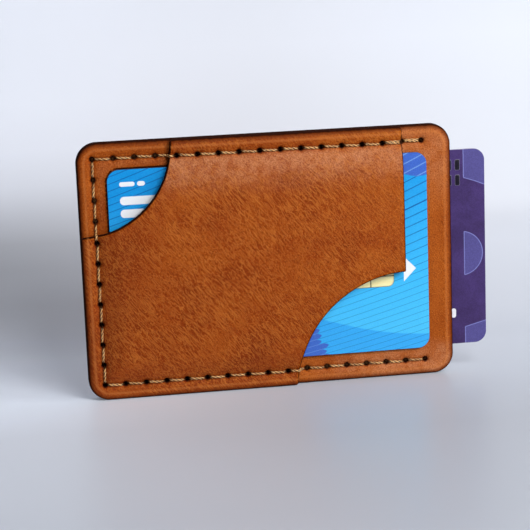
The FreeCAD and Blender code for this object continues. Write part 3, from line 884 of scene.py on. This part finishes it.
def leather_edges_and_painted_light(n, here, colour, middle, fine):
    """Lays dark edges and, as painted light, sheen where the pockets bend over their cards, a highlight along
    the crest of the edge strip, shade along the seam and in the holes, and on the divider the front card's
    shadow, over a colour.
    """
    painted_sheen = n.attribute("painted_sheen") * middle.fade(0.35, 0.62, 0.3, 1.0)
    uneven = (n.noise(here, 0.9, 3) - 0.5) * 0.5
    rim = n.attribute("rim")
    # On the divider, cut holds the distance to the front card's outline, so this mask also paints the card's
    # shadow.
    cut_edge_and_card_shadow = (n.attribute("cut") + uneven * 0.3).fade(0.42, 0.12)
    return n.layered(
        colour,
        # Painted sheen where the pockets bend over their cards.
        (painted_sheen * fine.fade(0.3, 0.65, 0.2, 0.62), SHEEN_COLOUR),
        ((rim + uneven).fade(1.5, 0.5, 0, 0.8), REDDENED),
        (highest((rim + uneven).fade(0.6, 0.15), cut_edge_and_card_shadow), BURNISH_AND_SHADOW),
        # Painted highlight about 2 mm inside the outer edge, on the crest of the edge strip.
        (rim.fade(2.4, 1.9) * rim.fade(1.3, 1.7) * 0.3, CROWN_HIGHLIGHT),
        # Painted shade in the groove along the seam.
        (n.attribute("seam").fade(0.8, 0.2, 0, 0.5), SEAM_SHADE),
        # Painted shade in and round the awl holes.
        (n.attribute("hole").fade(1.1, 0.55, 0.0, 0.95), HOLE_SHADE),
        (n.attribute("side").fade(0.9, 0.3), BURNISH_AND_SHADOW))


def leather_material(name, shift, tones, lined):
    """Vegetable-tanned leather: mottled colour, lightened towards the upper right as painted light, fine
    grain, thin slanting creases, burnished edges, and painted sheen, highlights and shade.
    """
    n = Nodes(name)
    here = n.place(shift)
    x, _, z = here.split()
    middle = n.noise(here, 0.3, 5, 0.65, 0.3)
    fine = n.noise(here, 2.7, 2, 0.65)
    crease, scratch, ditch = leather_marks(n, here, shift, lined)
    # The x and z terms lighten the colour towards the right and the top: painted light falling from the upper
    # right.
    tone_and_painted_light = n.noise(here, 0.07, 4, 0.55, 0.4) * 0.82 + middle * 0.15 + x * 0.0016 + z * 0.0012
    grained = n.layered(
        tone_and_painted_light.ramp(*tones),
        (highest(fine.fade(0.47, 0.36, 0, 0.6), ditch), DARK_GRAIN),
        (highest(fine.fade(0.54, 0.66, 0, 0.5), crease, scratch), LIGHT_GRAIN))
    pores = n.value("Distance", "TexVoronoi", {"Vector": here, "Scale": 1.9})
    height = crease * 0.5 + pores.fade(0.0, 0.5) * 0.2 + fine * 0.8
    near_edge = n.attribute("rim").maths("MINIMUM", n.attribute("cut")).fade(0.3, 1.2)
    return n.surface(
        Base_Color=leather_edges_and_painted_light(n, here, grained, middle, fine),
        Roughness=tone_and_painted_light.fade(0.3, 0.7, 0.54, 0.42) + (fine - 0.5) * 0.2,
        Specular_IOR_Level=n.attribute("hole").fade(0.8, 1.5, 0.0, 0.17) * (near_edge + 0.02),
        Specular_Tint=(1.0, 0.77, 0.52),
        Normal=n.bump(height, 0.16))


def thread_material():
    """Waxed linen: golden tan plies with painted shade in the gaps between them, pale fibres that are partly
    painted glints, and painted shade down in the holes and at their mouths.
    """
    n = Nodes("waxed_thread_linen")
    fibre = n.noise(n.place(), 6.0, 3, 0.7)
    mouth = n.attribute("mouth")
    plies = n.noise(n.place(), 0.5, 3).ramp((0.35, (0.42, 0.18, 0.045)), (0.65, (0.75, 0.4, 0.13)))
    colour = n.layered(
        # Near-black base that shows in the gaps between the plies: painted shade.
        (0.06, 0.014, 0.004),
        (n.attribute("ply").fade(0.3, 0.8), plies),
        # Pale fibre specks: the linen's own fibres, partly painted glints.
        (fibre.fade(0.5, 0.7, 0, 0.7), (1.0, 0.78, 0.45)),
        # Painted shade where the thread runs below the leather's surface, and at the holes' mouths.
        (n.attribute("above").fade(0.22, -0.2), (0.008, 0.003, 0.0015)),
        (mouth.fade(-0.75, 0.0, 0, 0.96), (0.012, 0.003, 0.0015)))
    return n.surface(Base_Color=colour, Roughness=0.5, Normal=n.bump(fibre, 0.06),
                     Specular_IOR_Level=mouth.fade(-0.6, 0.0, 0.35, 0.0))


def dress(item, material, body, node):
    """Gives a piece its material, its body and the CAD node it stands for."""
    item.data.materials.clear()
    item.data.materials.append(material)
    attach(item, body)
    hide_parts(node)


def make_leather():
    """The three panels."""
    front = make_pocket(-1, inside_front_panel, inside_front_cuts, front_panel_loop(), front_outer, SEED)
    centre = make_centre_panel()
    back = make_pocket(1, inside_back_panel, inside_thumb_notch, back_panel_loop(), back_outer, SEED + 1)
    for panel, place, shift, tones, lined in (
            (front, "front", (3, 1, 7), TONES_FRONT, 0.7),
            (centre, "centre", (41, 5, 23), TONES_CENTRE, 0.15),
            (back, "back", (81, 9, 57), TONES_BACK, 0.7)):
        material = leather_material(f"{place}_leather_grain", shift, tones, lined)
        dress(panel, material, "wallet", f"{place}_panel")


def make_thread():
    """The two strands of the saddle stitch."""
    linen = thread_material()
    for letter, first_in_front, doubled_gap in (("a", True, 1), ("b", False, 0)):
        strand = make_strand(f"thread_strand_{letter}_linen", first_in_front, doubled_gap)
        dress(strand, linen, "wallet", f"thread_strand_{letter}")


# ---- cards

CARD_EDGE = 0.09  # rounding of a card's printed edges
CHIP_CORNER = 1.6
CHIP_EDGE = 0.05
CHIP_RECESS = 0.06  # gap round the contact plate
RECESS_DEPTH = 0.2
EMBOSS_HEIGHT = 0.07
EMBOSS_WIDTH = 1.4
EMBOSS_CORNER = 0.3
PROUD = 0.012  # how far tapes and the contact plate stand out of the card
ETCH_DEPTH = 0.035

# Rows of embossed blanks, about the card's centre: their foot, their height and where each one starts.
NUMBER_PLACES = [-34.6 + 4.1 * k + 1.3 * (k // 4) for k in range(16)]
NAME_PLACES = [34.5 - 2.3 * k for k in range(16)]
EMBOSSED_ROWS = ((3.6, 2.7, NUMBER_PLACES), (17.1, 3.0, NAME_PLACES), (21.3, 3.0, NAME_PLACES))


def rectangle_sheet(low, high, corner, **settings):
    """Triangulates a rectangle with round corners. Gives its sheet and each point's distance inside it."""
    def field(p):
        """Distance inside the rectangle."""
        return inside_rectangle(p, low, high, corner)

    sheet = sheet_mesh_2d(field, rectangle_loop(low, high, corner), (), **settings)
    return sheet, field(sheet[0])


def emboss_marks(centre, rows):
    """Low and high corners of a card's embossed blanks, row by row."""
    lows = [(centre + (x, z), height) for z, height, places in rows for x in places]
    return [(low, low + (EMBOSS_WIDTH, height)) for low, height in lows]


def make_card_body(card, material, rows=()):
    """A plastic card with a recess for its contact plate and embossed blanks."""
    low, high = node_box(f"{card}_body")
    chip_low, chip_high = node_box(f"{card}_chip")
    plate = chip_low[XZ] - CHIP_RECESS, chip_high[XZ] + CHIP_RECESS
    marks = emboss_marks((low[XZ] + high[XZ]) / 2, rows)
    extra = [rectangle_loop(plate[0] + inset, plate[1] - inset, CHIP_CORNER)[::2]
             for inset in (-0.06, 0.0, 0.03)]
    for a, b in marks:
        extra += [rectangle_loop(a + inset, b - inset, EMBOSS_CORNER)[::6] for inset in (-0.08, 0.0, 0.14)]
    sheet, rim = rectangle_sheet(low[XZ], high[XZ], CARD_CORNER, grid_step=2.0, edge_radius=CARD_EDGE,
                                 outline_step=0.35, extra=extra)
    flat = sheet[0]
    raised = np.zeros(len(flat))
    for a, b in marks:
        raised = np.maximum(raised, smooth(inside_rectangle(flat, a, b, EMBOSS_CORNER * 1.5) / 0.15))
    sunk = RECESS_DEPTH * smooth(inside_rectangle(flat, *plate, CHIP_CORNER) / 0.03)
    front = low[1] + rounding(rim, CARD_EDGE) + sunk - EMBOSS_HEIGHT * raised
    back = high[1] - rounding(rim, CARD_EDGE)
    values = {"rim": np.clip(rim, 0, 5), "raised": raised}
    item = solid_sheet(f"{card}_plastic", sheet, front, back, values, belly=0.01)
    dress(item, material, card, f"{card}_body")


def chip_lines(p, low, high):
    """Distance to the contact plate's etched lines: round a middle contact, and between those beside it."""
    centre, size = (low + high) / 2, high - low
    q = p - centre
    middle = inside_rectangle(q, -size * (0.2, 0.26), size * (0.2, 0.26), 1.9)
    outside = middle < 0
    far = 9.0
    best = np.abs(middle)
    for share in (-0.25, 0.0, 0.25):
        best = np.minimum(best, np.where(outside, np.abs(q[:, 1] - share * size[1]), far))
    column = np.where(outside & (np.abs(q[:, 1]) > 0.25 * size[1]), np.abs(q[:, 0]), far)
    return np.minimum(best, column)


def make_chip(card, material):
    """The contact plate, with etched lines between its contacts."""
    low, high = node_box(f"{card}_chip")
    sheet, rim = rectangle_sheet(low[XZ], high[XZ], CHIP_CORNER, grid_step=0.13,
                                 edge_radius=CHIP_EDGE, outline_step=0.25)
    lines = chip_lines(sheet[0], low[XZ], high[XZ])
    front = low[1] - PROUD + rounding(rim, CHIP_EDGE) + ETCH_DEPTH * (1 - smooth((lines - 0.05) / 0.08))
    back = np.full(len(rim), low[1] + RECESS_DEPTH - 0.01)
    values = {"etched": np.clip(lines, 0, 2), "rim": np.clip(rim, 0, 2)}
    item = solid_sheet(f"{card}_contacts", sheet, front, back, values, wall_rows=1)
    dress(item, material, card, f"{card}_chip")


def make_tape(card, node, material, corner):
    """A thin tape on the card's rear face, with a faintly uneven surface."""
    low, high = node_box(f"{card}_{node}")
    sheet, rim = rectangle_sheet(low[XZ], high[XZ], corner, grid_step=1.2, edge_radius=0.02, outline_step=0.5)
    back = high[1] + PROUD + 0.002 * ripple(sheet[0], SEED + 9, 6) - rounding(rim, 0.01)
    front = np.full(len(rim), low[1] - 0.05)
    item = solid_sheet(f"{card}_{node}_film", sheet, front, back, {"rim": np.clip(rim, 0, 5)}, wall_rows=1)
    dress(item, material, card, f"{card}_{node}")


# ---- card materials

BAND_PITCH = 2.15  # between the blue card's fine lines, in mm
BLUE_BARS = (  # blank bars of the blue card: low corner, high corner and corner radius
    ((-39.6, 22.5), (-35.6, 23.7), 0.55),
    ((-34.9, 22.5), (-32.9, 23.7), 0.55),
    ((-39.6, 17.6), (-28.0, 19.8), 1.0),
    ((-39.6, 14.2), (-33.0, 16.4), 1.0),
)


def card_place(n, card):
    """Card coordinates in millimetres about the card's centre: across and up."""
    low, high = node_box(f"{card}_body")
    u, _, v = n.place(-(low + high) / 2).split()
    return u, v


def pill(u, v, low, high, radius):
    """Mask of a rounded rectangle of the card, 1 inside."""
    x, z = (highest(abs(value - (a + b) / 2) - ((b - a) / 2 - radius), 0.0)
            for value, a, b in zip((u, v), low, high))
    return (x**2.0 + z**2.0).maths("SQRT").fade(radius + 0.06, radius - 0.06)


def card_surface(n, printed, back, core):
    """Print on the front face, a plain rear face and a core showing at the edge: pale on the violet card,
    dark navy on the blue card, where it also paints shade.
    """
    side = n.attribute("side")
    edge = highest(n.attribute("rim").fade(0.1, 0.03), abs(side).maths("LESS_THAN", 0.6))
    coloured = n.mix(edge, n.mix(side.fade(-0.5, 0.5), back, printed), core)
    grain = n.noise(n.place(), 3.5, 3, 0.6)
    dapple = n.mix(grain.fade(0.35, 0.65, 0.0, 0.3), coloured, (0.97, 0.98, 1.0), "SOFT_LIGHT")
    scuff = n.noise(n.stretched((6, 1, 0.4), -8), 0.8, 3)
    return n.surface(Base_Color=dapple, Roughness=scuff.fade(0.35, 0.7, 0.3, 0.48),
                     Specular_IOR_Level=0.22, Normal=n.bump(grain, 0.012))


def royal_fields(u, v, band):
    """Mask of the royal-blue fields: stepped waves at the lower left, and a crest at the upper right."""
    step = ((band + 0.5).maths("FLOOR") * 2.4).maths("SINE")
    fold = ((band + 0.5).maths("FRACT") * math.pi).maths("SINE")
    lower = (u + v * 0.45 + step * -0.8 + fold * -1.2).fade(2.0, 1.6) * (v + u * -0.27).fade(-16.4, -16.9)
    upper = (v + (u * 0.35).maths("SINE")).fade(21.3, 21.8) * u.fade(15.0, 20.0)
    return highest(lower, upper)


def blue_print():
    """Azure card: fine rising lines, royal-blue waves at two corners, a pale arrow and blank bars."""
    n = Nodes("blue_card_print")
    u, v = card_place(n, "front_card")
    height = v + u * -0.3 + u * v * -0.0038
    band = height * (1 / BAND_PITCH) + (height + 5.0).maths("MINIMUM", 0.0)**2.0 * -0.0048
    fine = stroke(band.maths("FRACT") - 0.5, 0.08) * v.fade(-12.0, 14.0, 0.6, 1.0)
    bold = stroke(height + BAND_PITCH / 2, 0.3) * u.fade(28.0, 32.0)
    line = highest(fine, bold)
    glow = u * 0.001 + v * -0.014 + 0.42
    wave = u * 0.19 + v + (u * 0.12 - 2.03).maths("SINE")
    royal = royal_fields(u, v, band)
    arrow = (abs(v + 4.6) + u * 1.03).fade(40.6, 40.45) * u.fade(35.9, 36.0)
    printed = n.layered(
        glow.ramp((0.1, (0.003, 0.27, 0.72)), (0.5, (0.035, 0.45, 0.94)), (1.0, (0.085, 0.58, 0.98))),
        (wave.fade(-14.8, -15.2, 0, 0.7), (0.02, 0.31, 0.84)),
        (line * 0.85, (0.003, 0.06, 0.3)),
        (royal * 0.9, (0.045, 0.1, 0.5)),
        (royal * line * 0.55, (0.25, 0.5, 0.9)),
        (highest(arrow, *(pill(u, v, *bar) for bar in BLUE_BARS)), (0.86, 0.9, 0.95)))
    # The dark navy core is partly the card's edge colour and partly painted shade along its edge.
    return card_surface(n, printed, (0.1, 0.34, 0.7), (0.02, 0.06, 0.13))


def violet_fields(u, v):
    """Masks of two corner fields and a half disc right of an upright line, and of their outlines."""
    left = u - 36.9
    right = left.fade(-0.05, 0.05)
    top_edge = v + left * 0.3 + left**2.0 * 0.012 - 19.2
    low_edge = v + left * -0.25 + 22.35
    disc = ((left + 1.0)**2.0 + (v + 1.7)**2.0).maths("SQRT") - 6.1
    fields = highest(top_edge.fade(-0.05, 0.05), low_edge.fade(0.05, -0.05), disc.fade(0.05, -0.05)) * right
    beside = highest(top_edge.fade(-0.1, 0.1), low_edge.fade(0.1, -0.1), disc.fade(0.1, -0.1))
    curves = highest(*(stroke(edge, 0.2) for edge in (disc, top_edge, low_edge)))
    return fields, highest(stroke(left, 0.2) * beside, curves * right)


def violet_print():
    """Violet card: dark field, lighter corner fields and a half disc with thin lilac outlines."""
    n = Nodes("violet_card_print")
    u, v = card_place(n, "rear_card")
    fields, outlines = violet_fields(u, v)
    raised = n.attribute("raised")
    # A pale band on the sloping sides of the embossed blanks: painted highlight.
    emboss_highlight = raised.fade(0.1, 0.4) * raised.fade(0.9, 0.5)
    cloud = n.noise(n.place(), 0.12, 4, 0.6, 0.5)
    printed = n.layered(
        cloud.ramp((0.35, (0.038, 0.02, 0.092)), (0.65, (0.054, 0.03, 0.136))),
        (fields * 0.75, (0.085, 0.08, 0.27)),
        (outlines * 0.75, (0.22, 0.24, 0.6)),
        (raised.fade(0.1, 0.5), (0.006, 0.004, 0.012)),
        (emboss_highlight * 0.35, (0.5, 0.47, 0.62)),
        (pill(u, v, (33.0, -19.6), (34.3, -17.0), 0.6), (0.8, 0.8, 0.88)))
    return card_surface(n, printed, (0.06, 0.035, 0.12), (0.3, 0.28, 0.42))


def contact_material():
    """Gold-plated contacts, brushed, with dark etched lines."""
    n = Nodes("chip_contact_gold")
    brush = n.noise(n.stretched((5, 1, 0.15), -4), 1.5, 3)
    colour = n.layered(
        brush.ramp((0.3, (1.0, 0.86, 0.36)), (0.7, (1.0, 0.98, 0.6))),
        (n.attribute("etched").fade(0.19, 0.1, 0, 0.95), (0.04, 0.03, 0.02)),
        (n.attribute("rim").fade(0.22, 0.08, 0, 0.8), (0.16, 0.1, 0.04)))
    rough = brush.fade(0.3, 0.7, 0.34, 0.5)
    return n.surface(Base_Color=colour, Metallic=0.1, Roughness=rough, Normal=n.bump(brush, 0.006))


def stripe_material():
    """Black oxide tape, faintly streaked along the card."""
    n = Nodes("magnetic_tape_oxide")
    streak = n.noise(n.stretched((14, 1, 0.25), 0), 1.0, 4)
    colour = streak.ramp((0.3, (0.012, 0.011, 0.012)), (0.7, (0.035, 0.03, 0.03)))
    colour = n.mix(n.attribute("rim").fade(0.5, 0.0, 0, 0.3), colour, (0.08, 0.07, 0.07))
    rough = streak.fade(0.3, 0.7, 0.28, 0.45)
    return n.surface(Base_Color=colour, Roughness=rough, Normal=n.bump(streak, 0.01))


def signature_material():
    """Writable strip: off-white paper with a fine slanting security tint."""
    n = Nodes("signature_strip_paper")
    slant = n.stretched((1, 1, 1), 35).split()[2]
    tint = stroke((slant * 0.8).maths("FRACT") - 0.5, 0.2)
    paper = n.noise(n.place(), 4.0, 4, 0.7)
    colour = n.layered(
        paper.ramp((0.3, (0.68, 0.66, 0.6)), (0.7, (0.82, 0.8, 0.75))),
        (tint * 0.35, (0.5, 0.56, 0.68)),
        (n.attribute("rim").fade(0.7, 0.0, 0, 0.4), (0.45, 0.4, 0.33)))
    return n.surface(Base_Color=colour, Roughness=0.75, Normal=n.bump(paper, 0.02))


def make_cards():
    """Both cards with their chips and tapes."""
    gold, oxide, paper = contact_material(), stripe_material(), signature_material()
    make_card_body("front_card", blue_print())
    make_card_body("rear_card", violet_print(), EMBOSSED_ROWS)
    for card in ("front_card", "rear_card"):
        make_chip(card, gold)
        make_tape(card, "magnetic_stripe", oxide, 0.06)
        make_tape(card, "signature_strip", paper, 0.6)


# ---- stage

CAMERA_PLACE = (-67.48, -443.9, 126.5)
CAMERA_LENS = 116.13  # focal length for a sensor 36 mm wide
CAMERA_PAN = math.radians(8.47949)  # to the right of straight at the wallet's front
CAMERA_TILT = math.radians(-11.7224)  # above the horizontal, so it looks down
CAMERA_ROLL = math.radians(-2.18552)  # about the direction it looks in, anticlockwise

BACKDROP_WIDTH = 4.0
BACKDROP_FRONT, BACKDROP_BACK = -1.5, 1.5  # ends of the floor before and behind the wallet, in metres
FLOOR_Z = -0.0001  # just below the wallet's foot
BEND_START, BEND_RADIUS = 0.04, 0.05  # where the floor bends up into the wall
WALL_LEAN, WALL_LENGTH = math.radians(70), 1.6
# Greys of the backdrop, each at its depth plus height in millimetres. They paint light and shade on the
# paper: a painted shadow on the wall behind the wallet's left, painted light that lifts the floor beside it,
# and painted light that grows upward.
BACKDROP_LEFT = ((-100, 0.6), (-30, 0.76), (0, 0.95), (45, 1.0), (60, 0.86), (82, 0.6), (100, 0.47),
                 (112, 0.46), (124, 0.6), (136, 0.76), (150, 0.88), (170, 0.94))
BACKDROP_RIGHT = ((-110, 0.48), (-45, 0.51), (0, 0.61), (30, 0.68), (100, 0.7), (112, 0.64), (160, 0.71),
                  (190, 0.77))
WORLD_LIGHT = 0.06  # how strongly the surroundings light the wallet
WORLD_SEEN = 0.7  # how bright they look beyond the backdrop's ends


def link(name, data):
    """Makes an object of some data and links it into the scene."""
    item = bpy.data.objects.new(name, data)
    bpy.context.scene.collection.objects.link(item)
    return item


def make_camera():
    """The camera, set by its place, its pan, its tilt and its roll."""
    camera = link("camera", bpy.data.cameras.new("camera"))
    pan = Matrix.Rotation(-CAMERA_PAN, 4, "Z")
    tilt = Matrix.Rotation(math.pi / 2 + CAMERA_TILT, 4, "X")
    roll = Matrix.Rotation(CAMERA_ROLL, 4, "Z")
    camera.matrix_world = Matrix.Translation(Vector(CAMERA_PLACE) * MM) @ pan @ tilt @ roll
    camera.data.sensor_width = 36
    camera.data.lens = CAMERA_LENS
    camera.data.clip_start, camera.data.clip_end = 0.01, 20
    bpy.context.scene.camera = camera


def area_light(name, place, target, size, power, colour):
    """A soft square light aimed at a point, in metres and watts."""
    data = bpy.data.lights.new(name, "AREA")
    data.shape, data.size, data.energy, data.color = "SQUARE", size, power, colour
    light = link(name, data)
    light.location = place
    light.rotation_euler = (Vector(target) - Vector(place)).to_track_quat("-Z", "Y").to_euler()


def backdrop_profile():
    """The backdrop's section, in metres: a floor that bends up into a wall close behind the wallet."""
    profile = [(BACKDROP_FRONT, 0.0), (-0.3, 0.0)]
    for a in np.linspace(0, WALL_LEAN, 14):
        profile.append((BEND_START + BEND_RADIUS * math.sin(a), BEND_RADIUS * (1 - math.cos(a))))
    y, z = profile[-1]
    profile.append((y + WALL_LENGTH * math.cos(WALL_LEAN), z + WALL_LENGTH * math.sin(WALL_LEAN)))
    return profile


def grey_ramp(value, stops):
    """Greys at given values, in a straight line between them."""
    start, end = stops[0][0], stops[-1][0]
    share = value.nodes.value("Result", "MapRange", {"Value": value, "From Min": start, "From Max": end})
    return share.ramp(*(((at - start) / (end - start), (grey, grey, grey)) for at, grey in stops))


def backdrop_material():
    """Pale blue-white paper with painted light and shade, a soft painted shadow behind the wallet's left, and
    a painted glow of its own; seen from its front only.
    """
    n = Nodes("backdrop_paper")
    across, depth, height = n.place().split()
    fibre = n.noise(n.place(), 0.05, 3)
    left, right = (grey_ramp(depth + height, stops) for stops in (BACKDROP_LEFT, BACKDROP_RIGHT))
    grey = n.mix((across + fibre * 6.0).fade(-72.0, 28.0), left, right)
    paper = n.mix(1.0, grey, (0.83, 0.89, 1.0), "MULTIPLY")
    front = n.principled(Base_Color=paper, Roughness=0.36, Specular_IOR_Level=0.35,
                         # The emission is a painted glow: the paper lights itself faintly near the wallet and
                         # more on the floor far in front.
                         Normal=n.bump(fibre, 0.01), Emission_Color=paper,
                         Emission_Strength=depth.fade(-300.0, -800.0, 0.15, 0.6))
    behind = n.value("Backfacing", "NewGeometry")
    return n.finish(n.value(0, "MixShader", {0: behind, 1: front, 2: n.value(0, "BsdfTransparent")}))


def make_backdrop():
    """A pale floor, and a wall that only shows from its front."""
    mesh = bmesh.new()
    for profile in (backdrop_profile(), [(BEND_START, 0.0), (BACKDROP_BACK, 0.0)]):
        rows = [[mesh.verts.new((x, y, z + FLOOR_Z)) for y, z in profile]
                for x in (-BACKDROP_WIDTH / 2, BACKDROP_WIDTH / 2)]
        for k in range(len(profile) - 1):
            mesh.faces.new((rows[0][k], rows[1][k], rows[1][k + 1], rows[0][k + 1]))
    data = bpy.data.meshes.new("backdrop")
    mesh.to_mesh(data)
    mesh.free()
    data.shade_smooth()
    data.materials.append(backdrop_material())
    link("backdrop", data)


def make_world():
    """Faint surroundings that look brighter to the camera than the light they give."""
    n = Nodes("studio", bpy.data.worlds, "World")
    seen = n.value("Is Camera Ray", "LightPath")
    strength = n.value("Result", "MapRange", {"Value": seen, "To Min": WORLD_LIGHT, "To Max": WORLD_SEEN})
    shader = n.value(0, "Background", {"Color": (0.86, 0.9, 1.0), "Strength": strength})
    bpy.context.scene.world = n.finish(shader)


def make_stage():
    """The backdrop and soft studio light."""
    make_backdrop()
    area_light("key", (0.27, -0.42, 0.3), (0, 0, 0.03), 0.2, 1.9, (1, 0.985, 0.97))
    area_light("side", (0.45, -0.22, 0.25), (0, 0, 0.03), 0.2, 1.0, (1, 0.97, 0.95))
    area_light("sheen", (0.09, -0.4, 0.42), (0, 0, 0.05), 0.16, 0.9, (1, 0.96, 0.95))
    make_world()
    bpy.context.scene.view_settings.view_transform = "Standard"


make_leather()
make_thread()
make_cards()
make_stage()
make_camera()
